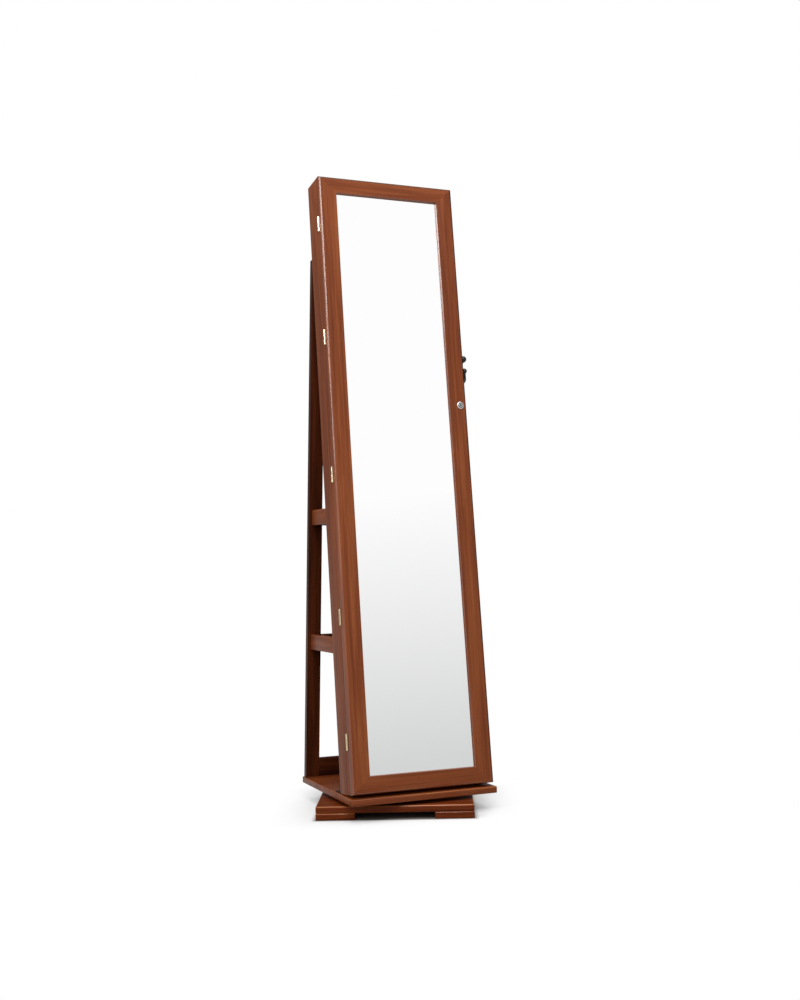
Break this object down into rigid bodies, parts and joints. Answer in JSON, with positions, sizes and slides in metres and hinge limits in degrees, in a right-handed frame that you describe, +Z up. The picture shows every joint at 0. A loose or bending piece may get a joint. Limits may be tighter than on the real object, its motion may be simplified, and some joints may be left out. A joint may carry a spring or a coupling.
{
  "type": "rotating mirrored jewelry armoire",
  "caption": "Leaning full-length mirror cabinet with a hinged locking door and fitted inside, on a rear shelf frame and a swivelling square base.",
  "frame": {"origin": "on the floor, on the swivel's axis, at the middle of the square base", "axes": "+Z up; the mirror faces -Y and leans back; the door's hinges are on the -X side, the coat hook on the +X side"},
  "size_m": [0.4846, 0.4846, 1.5536],
  "materials": {
    "cherry": "satin cherry laminate",
    "inner_wood": "satin",
    "hardboard": "matte",
    "velvet": "black velvet",
    "mirror": "silvered glass",
    "brass": "polished",
    "zinc": "zinc plated",
    "chrome": "polished",
    "black_enamel": "gloss",
    "nylon": "matte"
  },
  "bodies": {
    "base": {"base_board": "cherry", "base_feet": "cherry", "swivel_lower_plate": "zinc", "swivel_lower_screws": "zinc"},
    "roller_ring": {"swivel_rollers": "zinc", "swivel_cage": "nylon"},
    "turntable": {"turntable_board": "cherry", "rear_post_left": "cherry", "rear_post_right": "cherry", "rear_rail_bottom": "cherry", "rear_rail_lower": "cherry", "rear_rail_upper": "cherry", "lower_side_rail_left": "cherry", "lower_side_rail_right": "cherry", "upper_side_rail_left": "cherry", "upper_side_rail_right": "cherry", "lower_shelf": "cherry", "upper_shelf": "cherry", "tilt_wedges": "cherry", "case_side_left": "cherry", "case_side_right": "cherry", "case_bottom": "cherry", "case_top": "cherry", "inner_shelf_low": "inner_wood", "inner_shelf_mid": "inner_wood", "inner_shelf_high": "inner_wood", "shelf_fences": "inner_wood", "necklace_rail": "inner_wood", "ring_board": "inner_wood", "case_back": "hardboard", "case_lining": "velvet", "ring_rolls": "velvet", "hinge_leaves_case": "brass", "necklace_hooks": "brass", "bracelet_rod": "brass", "rod_sockets": "brass", "swivel_upper_plate": "zinc", "swivel_upper_screws": "zinc", "post_screws": "zinc", "rear_brackets": "zinc", "coat_hook_screws": "zinc", "coat_hook": "black_enamel", "magnet_catch": "nylon"},
    "door": {"door_stile_left": "cherry", "door_stile_right": "cherry", "door_rail_bottom": "cherry", "door_rail_top": "cherry", "mirror_glass": "mirror", "mirror_backing": "hardboard", "vanity_mirror": "mirror", "door_hook_rail": "inner_wood", "door_hooks": "brass", "earring_panel": "velvet", "hinge_leaves_door": "brass", "lock_barrel": "chrome", "lock_nut": "chrome", "catch_plate": "zinc"},
    "lock_plug": {"lock_plug": "chrome", "lock_cam": "chrome"}
  },
  "joints": [
    {"name": "swivel", "type": "hinge", "parent": "base", "child": "turntable", "pos_m": [0, 0, 0.0365], "axis": [0, 0, 1], "continuous": true},
    {"name": "roller_orbit", "type": "hinge", "parent": "base", "child": "roller_ring", "pos_m": [0, 0, 0.0365], "axis": [0, 0, 1], "continuous": true},
    {"name": "door_hinge", "type": "hinge", "parent": "turntable", "child": "door", "pos_m": [-0.181, -0.08121, 0.80791], "axis": [0, -0.108, -0.9942], "range_deg": [0, 115]},
    {"name": "lock_turn", "type": "hinge", "parent": "door", "child": "lock_plug", "pos_m": [0.1628, -0.07755, 0.98515], "axis": [0, -0.9942, 0.108], "range_deg": [0, 90]}
  ],
  "couplings": [
    {"joint": "roller_orbit", "follows": "swivel", "ratio": 0.5}
  ]
}
